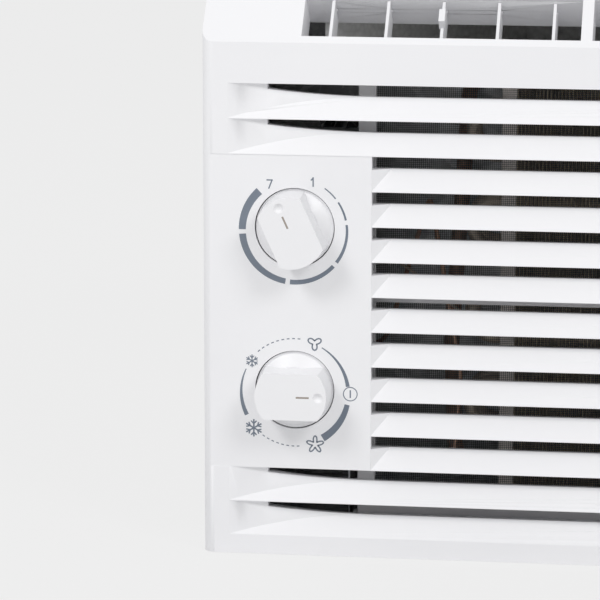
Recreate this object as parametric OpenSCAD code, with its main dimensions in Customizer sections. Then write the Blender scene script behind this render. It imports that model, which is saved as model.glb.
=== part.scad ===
// Window air conditioner: cabinet, front panel, refrigeration circuit, fans and controls.
// Front faces -Y, up is +Z, origin at the bottom centre of the whole unit.

/* [Front panel] */
// Width of the front panel
panel_w = 406; // [380:1:480]
// Height of the front panel
panel_h = 305; // [300:1:366]
// Wall of the moulded front panel
panel_wall = 2.5; // [2:0.1:3]
// Depth of the panel's side walls
panel_side = 50; // [46:1:54]
// Radius of the panel's front side edges
panel_edge_r = 6; // [4:0.5:8]
// Height and depth of the slanted outlet face
slant_size = 26; // [25:0.5:28]
// Thickness of the slatted area
grille_t = 9.4; // [9:0.1:10]

/* [Slats] */
// Distance between two slats
slat_pitch = 19; // [18:0.5:20]
// Height of the open slot between two slats
slot_h = 7.1; // [6:0.1:8]
// Depth of each slat's upper edge behind the front
slat_recess = 6.8; // [5:0.1:7.5]
// Thickness of a slat
slat_t = 2.6; // [2:0.1:3]
slat_land = 0.4; // flat strip along each slat's front edge
// Height of the lowest slot's upper edge
first_slot_z = 29.1; // [28:0.1:32]
// Length over which a slat runs out flat at its end
slat_taper = 79; // [60:1:90]
// Length of the bevel beside the controls
slat_bevel = 10; // [6:0.5:14]

/* [Controls] */
// Width of the control face
control_w = 91; // [88:1:100]
// Number of slat pitches beside the control face
control_rows = 9; // [9:1:10]
// Step of the control face behind the slat edges
control_step = 0.3; // [0.3:0.1:1]
// Distance of the knobs from the panel's left edge
knob_inset = 49.8; // [47:0.1:54]
// Height of the temperature knob's axis
temp_knob_z = 180; // [174:0.5:184]
// Height of the mode knob's axis
mode_knob_z = 91.5; // [86:0.5:96]
// Radius of the knob holes
knob_hole_r = 21.5; // [21:0.1:22.5]
// Gap round a knob in its hole
knob_gap = 0.6; // [0.4:0.1:1]
// Radius of the knob's grip ends
grip_r = 19.2; // [18:0.1:20]
// Width across the grip's flats
grip_w = 25.2; // [22:0.1:27]
// Height of the grip in front of the panel
knob_proud = 18; // [14:0.5:20]
// Resting angle of the temperature grip, clockwise from straight up
temp_angle = 335.5; // [330:0.5:340]
// Resting angle of the mode grip, clockwise from straight up
mode_angle = 90; // [88:0.5:92]
// Radius of the control shafts
control_shaft_r = 3; // [2.5:0.1:3.5]
// Running clearance of shafts and pins
running_gap = 0.06; // [0.04:0.01:0.09]

/* [Air outlet] */
// Width of the air outlet
outlet_w = 300; // [290:1:320]
// Number of vanes in each half of the outlet
vanes = 5; // [5:1:5]
// Depth of a vane along the air stream
vane_l = 18; // [16:0.5:19]
// Thickness of a vane
vane_t = 1.6; // [1.4:0.1:2]
// Radius of a vane's pivot pins
pivot_r = 1.5; // [1.3:0.1:1.7]
// Distance from a vane's pivot back to its link peg
peg_arm = 7; // [6:0.1:7.2]
// Radius of the link pegs
peg_r = 1.3; // [1.1:0.1:1.4]

/* [Air filter] */
// Thickness of the filter frame
filter_t = 4; // [3.5:0.1:4.5]
// Width of the filter frame's bars
filter_bar = 9.5; // [8:0.5:11]
// Distance of the filter behind the front
filter_d = 20; // [19:0.5:21]
// Clearance of the filter in its guides
filter_gap = 0.4; // [0.3:0.1:0.6]

/* [Cabinet] */
// Depth of the unit behind the panel's front
body_d = 380; // [375:1:460]
// Thickness of the sheet steel
sheet = 1.2; // [1:0.1:1.5]
// Radius of the side screw holes
screw_hole_r = 2.1; // [2:0.05:2.4]
// Radius of the screw shanks
screw_r = 1.75; // [1.6:0.05:1.9]
// Height of the upright flange of the top rail
rail_h = 14; // [12:1:18]

/* [Refrigeration] */
// Radius of the coil tubes
tube_r = 3.5; // [3:0.1:4]
// Tube spacing of the evaporator
evaporator_pitch = 25; // [24:0.5:25]
// Tube spacing of the condenser
condenser_pitch = 24; // [23:0.5:24]
// Depth of the evaporator's fin pack
evaporator_t = 42; // [38:1:42]
// Depth of the condenser's fin pack
condenser_t = 40; // [36:1:42]
// Radius of the compressor's shell
compressor_r = 55; // [50:1:56]
// Height of the compressor's shell
compressor_h = 178; // [160:1:180]

/* [Fans] */
// Radius of the blower wheel
wheel_r = 72; // [66:1:74]
// Depth of the blower wheel
wheel_l = 58; // [50:1:60]
// Radius of the motor
motor_r = 46; // [42:1:48]
// Length of the motor
motor_l = 78; // [70:1:80]
// Radius of the motor shaft
shaft_r = 4; // [3.5:0.1:4.5]
// Blades of the blower wheel
wheel_blades = 28; // [20:1:32]
// Blades of the condenser fan
fan_blades = 5; // [4:1:6]

/* [Hidden] */
$fn = 64;
arc_fn = 240;
eps = 0.01;
half_w = panel_w / 2;
front_y = knob_proud - (body_d + knob_proud) / 2;
slant_z = panel_h - slant_size;
slant_len = slant_size * sqrt(2);
slant_angle = 45;

// Slats and control face
rows = floor((slant_z - 20 - first_slot_z) / slat_pitch) + 1;
slat_h = slat_pitch - slot_h;
grille_z0 = first_slot_z - slat_pitch;
grille_z1 = first_slot_z + (rows - 1) * slat_pitch + 3;
control_x1 = control_w - half_w;
control_z0 = first_slot_z + slat_pitch;
control_z1 = control_z0 + control_rows * slat_pitch;
crease_inset = 14;
open_inset = 35;
rib_t = 2.4;
rib_x = [0, 100];
knob_x = knob_inset - half_w;
knob_r = knob_hole_r - knob_gap;
knob_back = 8;

// Air outlet
post_w = 6;
frame_wall = 2;
outlet_u0 = 4.6;
outlet_u1 = slant_len - 4.4;
frame_d = 24;
pivot_d = 13;
bank_w = (outlet_w - post_w) / 2;
vane_pitch = bank_w / vanes;
vane_gap = 0.4;
link_t = 2;
link_w = 4.6;
master = 2;

// Air filter and its guides
guide_t = 1.5;
lip_t = 1.8;
lip_h = 3.2;
filter_x0 = control_x1 - 9.4;
filter_x1 = half_w - 0.4;
filter_z0 = 17;
filter_z1 = slant_z - 17.5;

// Cabinet and base pan
cabinet_x = half_w - panel_wall - 1;
cabinet_z1 = panel_h - panel_wall - 1;
cabinet_z0 = 5;
cabinet_d0 = panel_side - 6;
pan_x = cabinet_x - sheet - 0.3;
pan_d0 = 15;
pan_d1 = body_d - 3;
pan_lip = 24;
front_lip = 12;
panel_lip = 14;
rail_d = 130;
rail_foot = 16;
screw_head_r = 4;
screw_head_h = 1.6;
side_screw_z = 14;
side_screws = [90, 200, body_d - 60];
panel_screw_d = 47;
panel_screw_z = panel_h / 2;
curtain_hole_z = [60, panel_h - 65];
curtain_d = rail_d + 10;

// Evaporator side, measured back from the front
evap_x0 = control_x1 + 74;
evap_x1 = half_w - 33;
evap_z0 = 22;
evap_z1 = slant_z - 24;
evap_d0 = 38;
evap_d1 = evap_d0 + evaporator_t;
orifice_d = evap_d1 + 8;
bulkhead_d = orifice_d + 84;
duct_z0 = evap_z1 + 4.5;

// Condenser side, measured forward from the back
cond_d1 = body_d - 18;
cond_d0 = cond_d1 - condenser_t;
cond_x0 = 53 - half_w;
cond_x1 = half_w - 30;
cond_z0 = 22;
cond_z1 = panel_h - 20;
shroud_d = cond_d0 - 10;
fan_d0 = cond_d0 - 38;
fan_l = 24;

// Fans
fan_x = (evap_x0 + evap_x1) / 2;
fan_z = panel_h / 2 - 12.5;
fan_r = min(fan_z - 22, cabinet_x - fan_x - 12);
wheel_d0 = orifice_d + 12;
inlet_r = wheel_r - 12;
motor_d0 = bulkhead_d + sheet + 12;
motor_d1 = motor_d0 + motor_l;
bracket_d = motor_d1 - 18;
scroll_wall = 2;
cut_off_angle = 120;
scroll_r0 = wheel_r + 8;
scroll_grow = 28;

// Compressor
comp_x = 75 - half_w;
comp_d = body_d - 130;
comp_z0 = 30;
comp_dome = compressor_h / 2;
foot_z = 36;
foot_t = 3;
foot_reach = [54, 38, 62];
stud_r = 3;
pad_h = 14;
acc_x = comp_x + compressor_r;
acc_d = comp_d - compressor_r;
acc_r = 16;
acc_z = [76, 172];
acc_tube_r = 4.5;
acc_elbow_z = 60;
drier_x = 17 - half_w;
drier_d = 192;
drier_z = [120, 220];
suction_hole_z = 236;
harness_hole_x = 53 - half_w;
harness_hole_z = 214;
capillary_hole_z = 62;

// Control box
box_x0 = 7 - half_w;
box_x1 = control_x1 - 14;
box_d0 = 15.5;
box_d1 = 80;
box_z0 = 52;
box_z1 = 222;
plate_t = 1;

gland_d = box_d1 + 18;
gland_z = 36;
gland_bore_r = 4;
gland_r = 8;
drain_x = -60;
drain_d = body_d - 30;
drain_r = 7;

// ---- Shared shapes ----

module place() translate([0, front_y, 0]) children();

// A profile of depth and height, drawn along X
module along_x(x0, x1) translate([x0, 0, 0]) rotate([90, 0, 90]) linear_extrude(x1 - x0) children();

// A profile of width and height, drawn along the depth
module along_y(d0, d1) translate([0, d1, 0]) rotate([90, 0, 0]) linear_extrude(d1 - d0) children();

module block(x, d, z) translate([x[0], d[0], z[0]]) cube([x[1] - x[0], d[1] - d[0], z[1] - z[0]]);
module rod_x(d, z, r, x0, x1) translate([x0, d, z]) rotate([0, 90, 0]) cylinder(r = r, h = x1 - x0);
module rod_y(x, z, r, d0, d1) translate([x, d0, z]) rotate([-90, 0, 0]) cylinder(r = r, h = d1 - d0);
module rod_z(x, d, r, z0, z1) translate([x, d, z0]) cylinder(r = r, h = z1 - z0);

module ring_y(x, z, outer, inner, d0, d1) difference() {
  rod_y(x, z, outer, d0, d1);
  rod_y(x, z, inner, d0 - 1, d1 + 1);
}

// A pipe swept along a list of points, with its corners rounded
function unit(v) = v / norm(v);
function corner(a, b, c, k) =
  let(p = b - k * unit(b - a), q = b + k * unit(c - b))
  [for (i = [0:5]) let(t = i / 5) (1 - t) * (1 - t) * p + 2 * t * (1 - t) * b + t * t * q];
function route(p, k) = concat([p[0]],
  [for (i = [1:len(p) - 2]) each corner(p[i - 1], p[i], p[i + 1], k)], [p[len(p) - 1]]);
function heading(p, i) = unit(p[min(i + 1, len(p) - 1)] - p[max(i - 1, 0)]);
pipe_sides = 10;
pipe_ref = [0.31, 0.22, 0.92];
module pipe(points, r, bend = 12) {
  p = route(points, bend);
  n = len(p);
  rings = [for (i = [0:n - 1]) let(t = heading(p, i), u = unit(cross(t, pipe_ref)), v = cross(t, u))
    for (j = [0:pipe_sides - 1]) p[i] + r * (cos(j * 360 / pipe_sides) * u + sin(j * 360 / pipe_sides)
        * v)];
  sides = [for (i = [0:n - 2]) for (j = [0:pipe_sides - 1]) let(k = (j + 1) % pipe_sides)
    [(i + 1) * pipe_sides + j, (i + 1) * pipe_sides + k, i * pipe_sides + k, i * pipe_sides + j]];
  first = [for (j = [0:pipe_sides - 1]) j];
  last = [for (j = [pipe_sides - 1:-1:0]) (n - 1) * pipe_sides + j];
  polyhedron(rings, concat(sides, [first, last]));
}

// ---- Front panel ----

module side_profile(inset) {
  bend = inset * (sqrt(2) - 1);
  polygon([[inset, inset], [inset, slant_z - bend], [slant_size + bend, panel_h - inset],
    [panel_side + inset, panel_h - inset], [panel_side + inset, inset > 0 ? -1 : 0],
    [panel_lip, inset > 0 ? -1 : 0], [panel_lip, inset]]);
}

module top_profile(inset) {
  r = panel_edge_r - inset;
  x = half_w - panel_edge_r;
  for (side = [-1, 1]) translate([side * x, panel_edge_r]) circle(r = r);
  translate([-x, inset]) square([2 * x, 100]);
  translate([inset - half_w, panel_edge_r]) square([2 * (half_w - inset), 100]);
}

module panel_form(inset) intersection() {
  along_x(-half_w, half_w) side_profile(inset);
  linear_extrude(panel_h) top_profile(inset);
}

// One end of a slat cut, deepening from nothing to the full recess along an arc
module end_arc(side, tip, length, sag) {
  r = (length * length + sag * sag) / (2 * sag);
  full = tip - side * length;
  intersection() {
    translate([full, sag - r]) circle(r = r, $fn = arc_fn);
    translate([min(tip, full), -1]) square([length, sag + 2]);
  }
}

module cut_depth(x0, short) {
  tip = half_w - crease_inset;
  full = tip - slat_taper;
  start = short ? x0 + slat_bevel : -full;
  translate([start, -1]) square([full - start, grille_t + 2]);
  end_arc(1, tip, slat_taper, slat_recess);
  if (short) polygon([[x0, -1], [x0, 0], [start, slat_recess], [start + eps, -1]]);
  else end_arc(-1, -tip, slat_taper, slat_recess);
}

module slot_shape(x0, short, top) {
  tip = half_w - crease_inset;
  full = tip - slat_taper;
  start = short ? x0 : -full;
  translate([start, top - slot_h]) square([full - start, slot_h]);
  intersection() {
    union() {
      translate([0, top]) mirror([0, 1]) end_arc(1, tip, slat_taper, slot_h);
      if (!short) translate([0, top]) mirror([0, 1]) end_arc(-1, -tip, slat_taper, slot_h);
    }
    translate([open_inset - half_w, top - slot_h]) square([2 * (half_w - open_inset), slot_h]);
  }
}

module slat_cut(k) {
  short = k >= 2 && k < 2 + control_rows;
  top = first_slot_z + k * slat_pitch;
  bottom = top - slat_pitch;
  slope = slat_recess / (slat_h - slat_land);
  intersection() {
    along_x(-half_w, half_w) polygon([[-1, bottom + slat_land], [0, bottom + slat_land],
      [slope * (slat_pitch - slat_land), top], [-1, top]]);
    translate([0, 0, bottom - 1]) linear_extrude(slat_pitch + 2) cut_depth(control_x1, short);
  }
  along_y(-1, grille_t + 1) slot_shape(control_x1, short, top);
  back_x0 = short ? control_x1 + rib_t : rib_t + 2 - half_w;
  edges = concat([back_x0], [for (x = rib_x) each [x - rib_t / 2, x + rib_t / 2]], [half_w - rib_t - 2]);
  for (i = [0:2:len(edges) - 2]) along_x(edges[i], edges[i + 1])
    polygon([[slat_t, bottom], [slat_t + slat_recess, top - slot_h], [grille_t + 1, top - slot_h],
      [grille_t + 1, bottom]]);
}

module filter_guide(x0, x1, z, up) {
  back = filter_d + filter_t + filter_gap + lip_t;
  front = filter_d - filter_gap - lip_t;
  z_lip = up > 0 ? z : z - lip_h;
  block([x0, x1], [grille_t - 1, back], up > 0 ? [z - guide_t, z] : [z, z + guide_t]);
  block([x0, x1], [front, front + lip_t], [z_lip, z_lip + lip_h]);
  block([x0, x1], [back - lip_t, back], [z_lip, z_lip + lip_h]);
  block([x0 - lip_t, x0], [front, back], up > 0 ? [z - guide_t, z + lip_h] : [z - lip_h, z + guide_t]);
}

module outlet_cut(depth, out) {
  for (side = [0, 1]) mirror([side, 0, 0]) translate([post_w / 2, outlet_u0, -depth])
    cube([bank_w, outlet_u1 - outlet_u0, depth + out]);
}

module on_slant() translate([0, 0, slant_z]) rotate([slant_angle, 0, 0]) children();

module front_panel() color([0.93, 0.935, 0.95]) place() difference() {
  union() {
    difference() {
      panel_form(0);
      difference() {
        panel_form(panel_wall);
        block([-half_w, half_w], [0, grille_t], [grille_z0, grille_z1]);
      }
    }
    filter_guide(filter_x0 - filter_gap, half_w - 1, filter_z0 - filter_gap, 1);
    filter_guide(filter_x0 - filter_gap, half_w - 1, filter_z1 + filter_gap, -1);
  }
  for (k = [0:rows - 1]) slat_cut(k);
  block([-half_w - 1, control_x1], [-1, control_step], [control_z0, control_z1]);
  block([5 - half_w, control_x1 - rib_t], [control_step + panel_wall, grille_t + 1],
    [control_z0 + 3, control_z1 - 3]);
  for (z = [temp_knob_z, mode_knob_z]) rod_y(knob_x, z, knob_hole_r, -1, grille_t + 1);
  on_slant() outlet_cut(panel_wall + 2, 2);
  block([half_w - panel_wall - 1, half_w + 1], [filter_d - filter_gap, filter_d + filter_t + filter_gap],
    [filter_z0 - filter_gap, filter_z1 + filter_gap]);
  for (side = [0, 1]) mirror([side, 0, 0]) {
    rod_x(panel_screw_d, panel_screw_z, screw_hole_r, half_w - panel_wall - 1, half_w + 1);
    rod_x(panel_screw_d, panel_screw_z, screw_head_r + 0.4, half_w - screw_head_h, half_w + 1);
  }
}

// ---- Air outlet ----

module discharge_frame() color([0.9, 0.905, 0.92]) place() on_slant() difference() {
  top = panel_wall + 0.2;
  translate([-outlet_w / 2 - frame_wall, outlet_u0 - frame_wall, -frame_d])
    cube([outlet_w + 2 * frame_wall, outlet_u1 - outlet_u0 + 2 * frame_wall, frame_d - top]);
  outlet_cut(frame_d + 1, 1);
  for (side = [-1, 1]) for (i = [0:vanes - 1])
    translate([side * (post_w / 2 + vane_pitch * (i + 0.5)), outlet_u0 - frame_wall - 1, -pivot_d])
      rotate([-90, 0, 0]) cylinder(r = pivot_r + running_gap, h = 60);
}

module pin_u(r, u0, u1, w) translate([0, u0, -w]) rotate([-90, 0, 0]) cylinder(r = r, h = u1 - u0);

module vane(side, i) color([0.9, 0.905, 0.92]) place() on_slant()
  translate([side * (post_w / 2 + vane_pitch * (i + 0.5)), 0, 0]) {
    u0 = outlet_u0 + vane_gap;
    u1 = outlet_u1 - vane_gap;
    notch = u0 + link_t + 1.4;
    difference() {
      translate([-vane_t / 2, u0, -pivot_d - vane_l / 2]) cube([vane_t, u1 - u0, vane_l]);
      translate([-vane_t, u0 - 1, -pivot_d - vane_l]) cube([2 * vane_t, notch - u0 + 1,
          vane_l - peg_arm + 4]);
    }
    pin_u(pivot_r, outlet_u0 - frame_wall + 0.4, u0 + 0.5, pivot_d);
    pin_u(pivot_r, u1 - 0.5, outlet_u1 + frame_wall - 0.4, pivot_d);
    pin_u(peg_r, u0 + 0.2, notch + 0.5, pivot_d + peg_arm);
    if (i == master) translate([-vane_t, (u0 + u1) / 2 - 4, -pivot_d + vane_l / 2 - 1])
        cube([2 * vane_t, 8, 7]);
  }

module link_bar(side) color([0.9, 0.905, 0.92]) place() on_slant() difference() {
  reach = vane_pitch * (vanes - 1) / 2 + 4;
  centre = side * (post_w + bank_w) / 2;
  translate([centre - reach, outlet_u0 + vane_gap + 0.6, -pivot_d - peg_arm - link_w / 2])
    cube([2 * reach, link_t, link_w]);
  for (i = [0:vanes - 1]) translate([side * (post_w / 2 + vane_pitch * (i + 0.5)), 0, 0])
    pin_u(peg_r + running_gap, 0, 20, pivot_d + peg_arm);
}

// ---- Air filter ----

filter_rib = 5;
filter_top_bar = 4.5;
filter_mid = (filter_z0 + filter_z1) / 2;

module filter_opening(x0, x1) {
  lower = filter_z0 + filter_bar;
  upper = filter_mid + filter_rib / 2;
  translate([x0, lower]) square([x1 - x0, filter_mid - filter_rib / 2 - lower]);
  translate([x0, upper]) square([x1 - x0, filter_z1 - filter_top_bar - upper]);
}

module filter_frame() color([0.6, 0.6, 0.61]) place() difference() {
  block([filter_x0, filter_x1], [filter_d, filter_d + filter_t], [filter_z0, filter_z1]);
  along_y(filter_d - 1, filter_d + filter_t + 1)
    filter_opening(filter_x0 + filter_bar, filter_x1 - filter_bar);
}

module filter_mesh() color([0.45, 0.45, 0.46]) place() along_y(filter_d + 1.7, filter_d + 2.3)
  filter_opening(filter_x0 + filter_bar, filter_x1 - filter_bar);

// ---- Knobs and controls ----

dimple_r = 2.2;

module knob(z, angle) place() translate([knob_x, 0, z]) rotate([90, 0, 0]) rotate([0, 0, -angle])
    difference() {
  union() {
    translate([0, 0, -knob_back]) cylinder(r = knob_r, h = knob_back - 1.6);
    translate([0, 0, -1.6 - eps]) cylinder(r1 = knob_r - 1.2, r2 = grip_w / 2 + 0.8, h = 4.6);
    intersection() {
      translate([0, 0, -2]) cylinder(r1 = grip_r + 1, r2 = grip_r, h = knob_proud + 2);
      translate([-grip_w / 2, -30, -2]) cube([grip_w, 60, knob_proud + 2]);
    }
  }
  difference() {
    translate([0, 0, -knob_back - 1]) cylinder(r = knob_r - 2, h = knob_back - 1);
    translate([0, 0, -knob_back - 1]) cylinder(r = control_shaft_r + 3, h = knob_back);
  }
  translate([0, 0, -knob_back - 1]) cylinder(r = control_shaft_r + 0.05, h = knob_back + 9);
  translate([0, grip_r - 4.4, knob_proud + dimple_r * 0.7]) sphere(r = dimple_r * 1.4);
}

module temp_knob() color([0.92, 0.925, 0.94]) knob(temp_knob_z, temp_angle);
module mode_knob() color([0.92, 0.925, 0.94]) knob(mode_knob_z, mode_angle);

switch_d0 = box_d0 + plate_t + 0.3;
bush_r = 5;
module control_shaft(z, deep) place() rod_y(knob_x, z, control_shaft_r, -7.5, switch_d0 + deep);
module thermostat_shaft() color([0.75, 0.75, 0.76]) control_shaft(temp_knob_z, 12);
module switch_shaft() color([0.75, 0.75, 0.76]) control_shaft(mode_knob_z, 10);

module bushing(z, deep) difference() {
  union() {
    rod_y(knob_x, z, bush_r, switch_d0 - 5, switch_d0 + eps);
    children();
  }
  rod_y(knob_x, z, control_shaft_r + running_gap, switch_d0 - 6, switch_d0 + deep + 0.5);
}

module thermostat_body() color([0.72, 0.72, 0.7]) place() bushing(temp_knob_z, 12)
  block([knob_x - 20, knob_x + 20], [switch_d0, switch_d0 + 28], [temp_knob_z - 17, temp_knob_z + 17]);

module mode_switch() color([0.2, 0.2, 0.22]) place() bushing(mode_knob_z, 10) {
  rod_y(knob_x, mode_knob_z, 19, switch_d0, switch_d0 + 20);
  for (a = [0:60:359]) translate([knob_x + 13 * cos(a), 0, mode_knob_z + 13 * sin(a)])
    block([-3, 3], [switch_d0 + 20 - eps, switch_d0 + 26], [-0.4, 0.4]);
}

bulb_r = 3;
bulb_d = evap_d0 - bulb_r - 0.3;
bulb_z = 118;
module sensing_bulb() color([0.72, 0.45, 0.3]) place() {
  rod_x(bulb_d, bulb_z, bulb_r, evap_x0 + 61, evap_x0 + 140);
  pipe([[knob_x + 20, switch_d0 + 20, temp_knob_z - 10], [box_x1 + 4, switch_d0 + 20, temp_knob_z - 10],
    [control_x1 + 20, 36, 150], [evap_x0 - 20, bulb_d, 122], [evap_x0 + 20, bulb_d, bulb_z],
    [evap_x0 + 60.9, bulb_d, bulb_z]], 0.9, 8);
}

module control_box() color([0.66, 0.67, 0.68]) place() difference() {
  union() {
    block([box_x0, box_x1], [box_d0, box_d1], [box_z0, box_z1]);
    for (x = [box_x0, box_x1 - plate_t]) block([x, x + plate_t], [box_d0 + 10, box_d1], [sheet + 0.2,
        box_z0 + 1]);
  }
  block([box_x0 + plate_t, box_x1 - plate_t], [box_d0 + plate_t, box_d1 + 1], [box_z0 + plate_t,
      box_z1 - plate_t]);
  for (z = [temp_knob_z, mode_knob_z]) rod_y(knob_x, z, bush_r + 0.1, box_d0 - 1, box_d0 + 3);
  rod_x(switch_d0 + 20, temp_knob_z - 11.6, 3, box_x1 - 3, box_x1 + 1);
}

module control_box_cover() color([0.66, 0.67, 0.68]) place() difference() {
  union() {
    block([box_x0, box_x1], [box_d1 + 0.1, box_d1 + 0.1 + plate_t], [box_z0, box_z1]);
    block([box_x0 + plate_t + 0.2, box_x1 - plate_t - 0.2], [box_d1 - 8, box_d1 + 0.2],
      [box_z1 - 2 * plate_t - 0.2, box_z1 - plate_t - 0.2]);
  }
  rod_y(harness_hole_x, 200, 8, box_d1 - 1, box_d1 + 3);
}

cap_r = 17;
module run_capacitor() color([0.78, 0.79, 0.8]) place() {
  translate([0, 0, box_z0 + plate_t + 0.1]) {
    rod_z(box_x0 + 23, box_d1 - cap_r - 1.5, cap_r, 0, 62);
    for (x = [-7, 7]) block([box_x0 + 23 + x - 0.4, box_x0 + 23 + x + 0.4], [box_d1 - 22, box_d1 - 16],
        [62 - eps, 70]);
  }
}

module wire_harness() color([0.12, 0.12, 0.13]) place() {
  lead_r = 3;
  pipe([[harness_hole_x - 3, box_d1 - 20, 200], [harness_hole_x - 3, box_d1 + 10, 200],
    [harness_hole_x - 3, bulkhead_d - 20, harness_hole_z], [harness_hole_x - 3, bulkhead_d + 12,
        harness_hole_z],
    [comp_x, bulkhead_d + 16, 190], [comp_x, comp_d - compressor_r - 9, 153]], lead_r, 8);
  pipe([[harness_hole_x + 4, box_d1 - 20, 200], [harness_hole_x + 4, box_d1 + 10, 200],
    [harness_hole_x + 4, bulkhead_d - 20, harness_hole_z], [harness_hole_x + 4, bulkhead_d + 14,
        harness_hole_z + 4],
    [fan_x - 40, bulkhead_d + 14, fan_z + motor_r + 30], [fan_x, motor_d0 + 30, fan_z + motor_r + 26],
    [fan_x, motor_d0 + 30, fan_z + motor_r + 0.3]], lead_r, 8);
}

// ---- Base pan, cabinet and guards ----

function foot_points() = [[comp_x - foot_reach[0], comp_d + foot_reach[1]],
  [comp_x + foot_reach[0], comp_d + foot_reach[1]], [comp_x, comp_d - foot_reach[2]]];

module side_holes(r, x0, x1) for (side = [0, 1]) mirror([side, 0, 0])
  for (d = side_screws) rod_x(d, side_screw_z, r, x0, x1);

module base_pan() color([0.72, 0.73, 0.74]) place() difference() {
  union() {
    block([-pan_x, pan_x], [pan_d0, pan_d1], [0, sheet]);
    for (x = [-pan_x, pan_x - sheet]) block([x, x + sheet], [panel_side - 8, pan_d1], [0, pan_lip]);
    block([-pan_x, pan_x], [pan_d0, pan_d0 + sheet], [0, front_lip]);
    block([-pan_x, pan_x], [pan_d1 - sheet, pan_d1], [0, pan_lip - 6]);
    for (x = [-pan_x, pan_x - sheet]) block([x, x + sheet], [pan_d0, panel_side], [0, front_lip]);
    for (p = foot_points()) {
      rod_z(p[0], p[1], 12, sheet - eps, pad_h + sheet);
      rod_z(p[0], p[1], stud_r, sheet, foot_z + 16);
    }
    for (x = [-120, 20, 120]) block([x - 6, x + 6], [evap_d1 + 20, bulkhead_d - 8], [sheet - eps,
        sheet + 2]);
  }
  rod_z(drain_x, drain_d, drain_r, -1, sheet + 1);
  side_holes(screw_r + 0.05, pan_x - sheet - 1, pan_x + 1);
}

module cabinet_outline(inset) {
  r = 6 - inset;
  x = cabinet_x - 6;
  z = cabinet_z1 - 6;
  for (side = [-1, 1]) translate([side * x, z]) circle(r = r);
  translate([inset - cabinet_x, inset > 0 ? -50 : cabinet_z0]) square([2 * (cabinet_x - inset),
      z - cabinet_z0 + (inset > 0 ? 50 + cabinet_z0 : 0)]);
  translate([-x, z - 10]) square([2 * x, 16 - inset]);
}

vent_rows = 8;
module cabinet() color([0.85, 0.85, 0.84]) place() difference() {
  union() {
    difference() {
      along_y(cabinet_d0, body_d) cabinet_outline(0);
      along_y(cabinet_d0 - 1, body_d + 1) cabinet_outline(sheet);
    }
    difference() {
      along_y(body_d - sheet, body_d) intersection() {
        cabinet_outline(0.3);
        translate([-half_w, cabinet_z0]) square([panel_w, panel_h]);
      }
      block([14 - cabinet_x, cabinet_x - 14], [body_d - 3, body_d + 1], [-1, cabinet_z1 - 12]);
    }
  }
  for (side = [0, 1]) mirror([side, 0, 0]) {
    for (c = [0:2]) for (k = [0:vent_rows - 1])
      translate([cabinet_x - 3, bulkhead_d + 26 + c * 44, 70 + k * 22]) cube([5, 34, 7]);
    for (z = curtain_hole_z) rod_x(curtain_d, z, screw_hole_r, cabinet_x - 3, cabinet_x + 1);
    rod_x(panel_screw_d, panel_screw_z, screw_r + 0.05, cabinet_x - 3, cabinet_x + 1);
  }
  for (c = [-2:2]) for (k = [0:4])
    translate([c * 62 - 22, bulkhead_d + 30 + k * 22, cabinet_z1 - 3]) cube([44, 8, 5]);
  side_holes(screw_hole_r, cabinet_x - 3, cabinet_x + 1);
  for (x = [-1, 0, 1]) rod_z(x * 150, rail_d + 8, screw_r + 0.05, cabinet_z1 - 3, cabinet_z1 + 1);
  rod_x(gland_d, gland_z, gland_r + 0.1, -half_w, 3 - cabinet_x);
}

module rear_guard() color([0.3, 0.31, 0.32]) place() difference() {
  guard_x = cabinet_x - sheet - 0.4;
  guard_z = cabinet_z1 - sheet - 0.4;
  along_y(pan_d1 + 0.2, body_d - sheet - 0.2) intersection() {
    cabinet_outline(sheet + 0.4);
    translate([-half_w, sheet + 18]) square([panel_w, panel_h]);
  }
  for (i = [0:10]) for (k = [0:13])
    translate([-guard_x + 20 + i * (2 * guard_x - 40) / 11 + 2, pan_d1 - 1,
        sheet + 26 + k * (guard_z - 46) / 14])
      cube([(2 * guard_x - 40) / 11 - 4, 5, (guard_z - 46) / 14 - 5]);
}

module top_rail() color([0.85, 0.85, 0.84]) place() difference() {
  union() {
    block([-170, 170], [rail_d, rail_d + rail_foot], [cabinet_z1, cabinet_z1 + sheet]);
    block([-170, 170], [rail_d, rail_d + sheet], [cabinet_z1, cabinet_z1 + rail_h]);
  }
  for (x = [-1, 0, 1]) rod_z(x * 150, rail_d + 8, screw_hole_r, cabinet_z1 - 1, cabinet_z1 + 3);
}

module side_screw(x, d, z, length) {
  rod_x(d, z, screw_head_r, x, x + screw_head_h);
  rod_x(d, z, screw_r, x - length, x + eps);
}

module screws() color([0.7, 0.7, 0.71]) place() {
  for (side = [0, 1]) mirror([side, 0, 0]) {
    for (d = side_screws) side_screw(cabinet_x, d, side_screw_z, 7);
    side_screw(half_w - screw_head_h, panel_screw_d, panel_screw_z, 4.6);
  }
  for (x = [-1, 0, 1]) translate([x * 150, rail_d + 8, cabinet_z1 + sheet]) {
    cylinder(r = screw_head_r - 0.5, h = screw_head_h);
    translate([0, 0, -6]) cylinder(r = screw_r, h = 6 + eps);
  }
}

module cord_gland() color([0.15, 0.15, 0.16]) place() difference() {
  union() {
    rod_x(gland_d, gland_z, gland_r, -cabinet_x - 1.5, 8 - cabinet_x);
    rod_x(gland_d, gland_z, gland_r + 2, -cabinet_x - 2, -cabinet_x);
    rod_x(gland_d, gland_z, gland_r + 1.5, sheet - cabinet_x + 0.2, sheet - cabinet_x + 2.2);
  }
  rod_x(gland_d, gland_z, gland_bore_r, -half_w - 1, 10 - cabinet_x);
}

module drain_plug() color([0.2, 0.2, 0.2]) place() {
  rod_z(drain_x, drain_d, drain_r - 0.1, 0.2, sheet + eps);
  rod_z(drain_x, drain_d, drain_r + 3, sheet, sheet + 3);
}

// ---- Heat exchangers ----

function coil_rows(height, pitch) = 2 * floor((height - 20) / (2 * pitch)) + 1;

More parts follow.
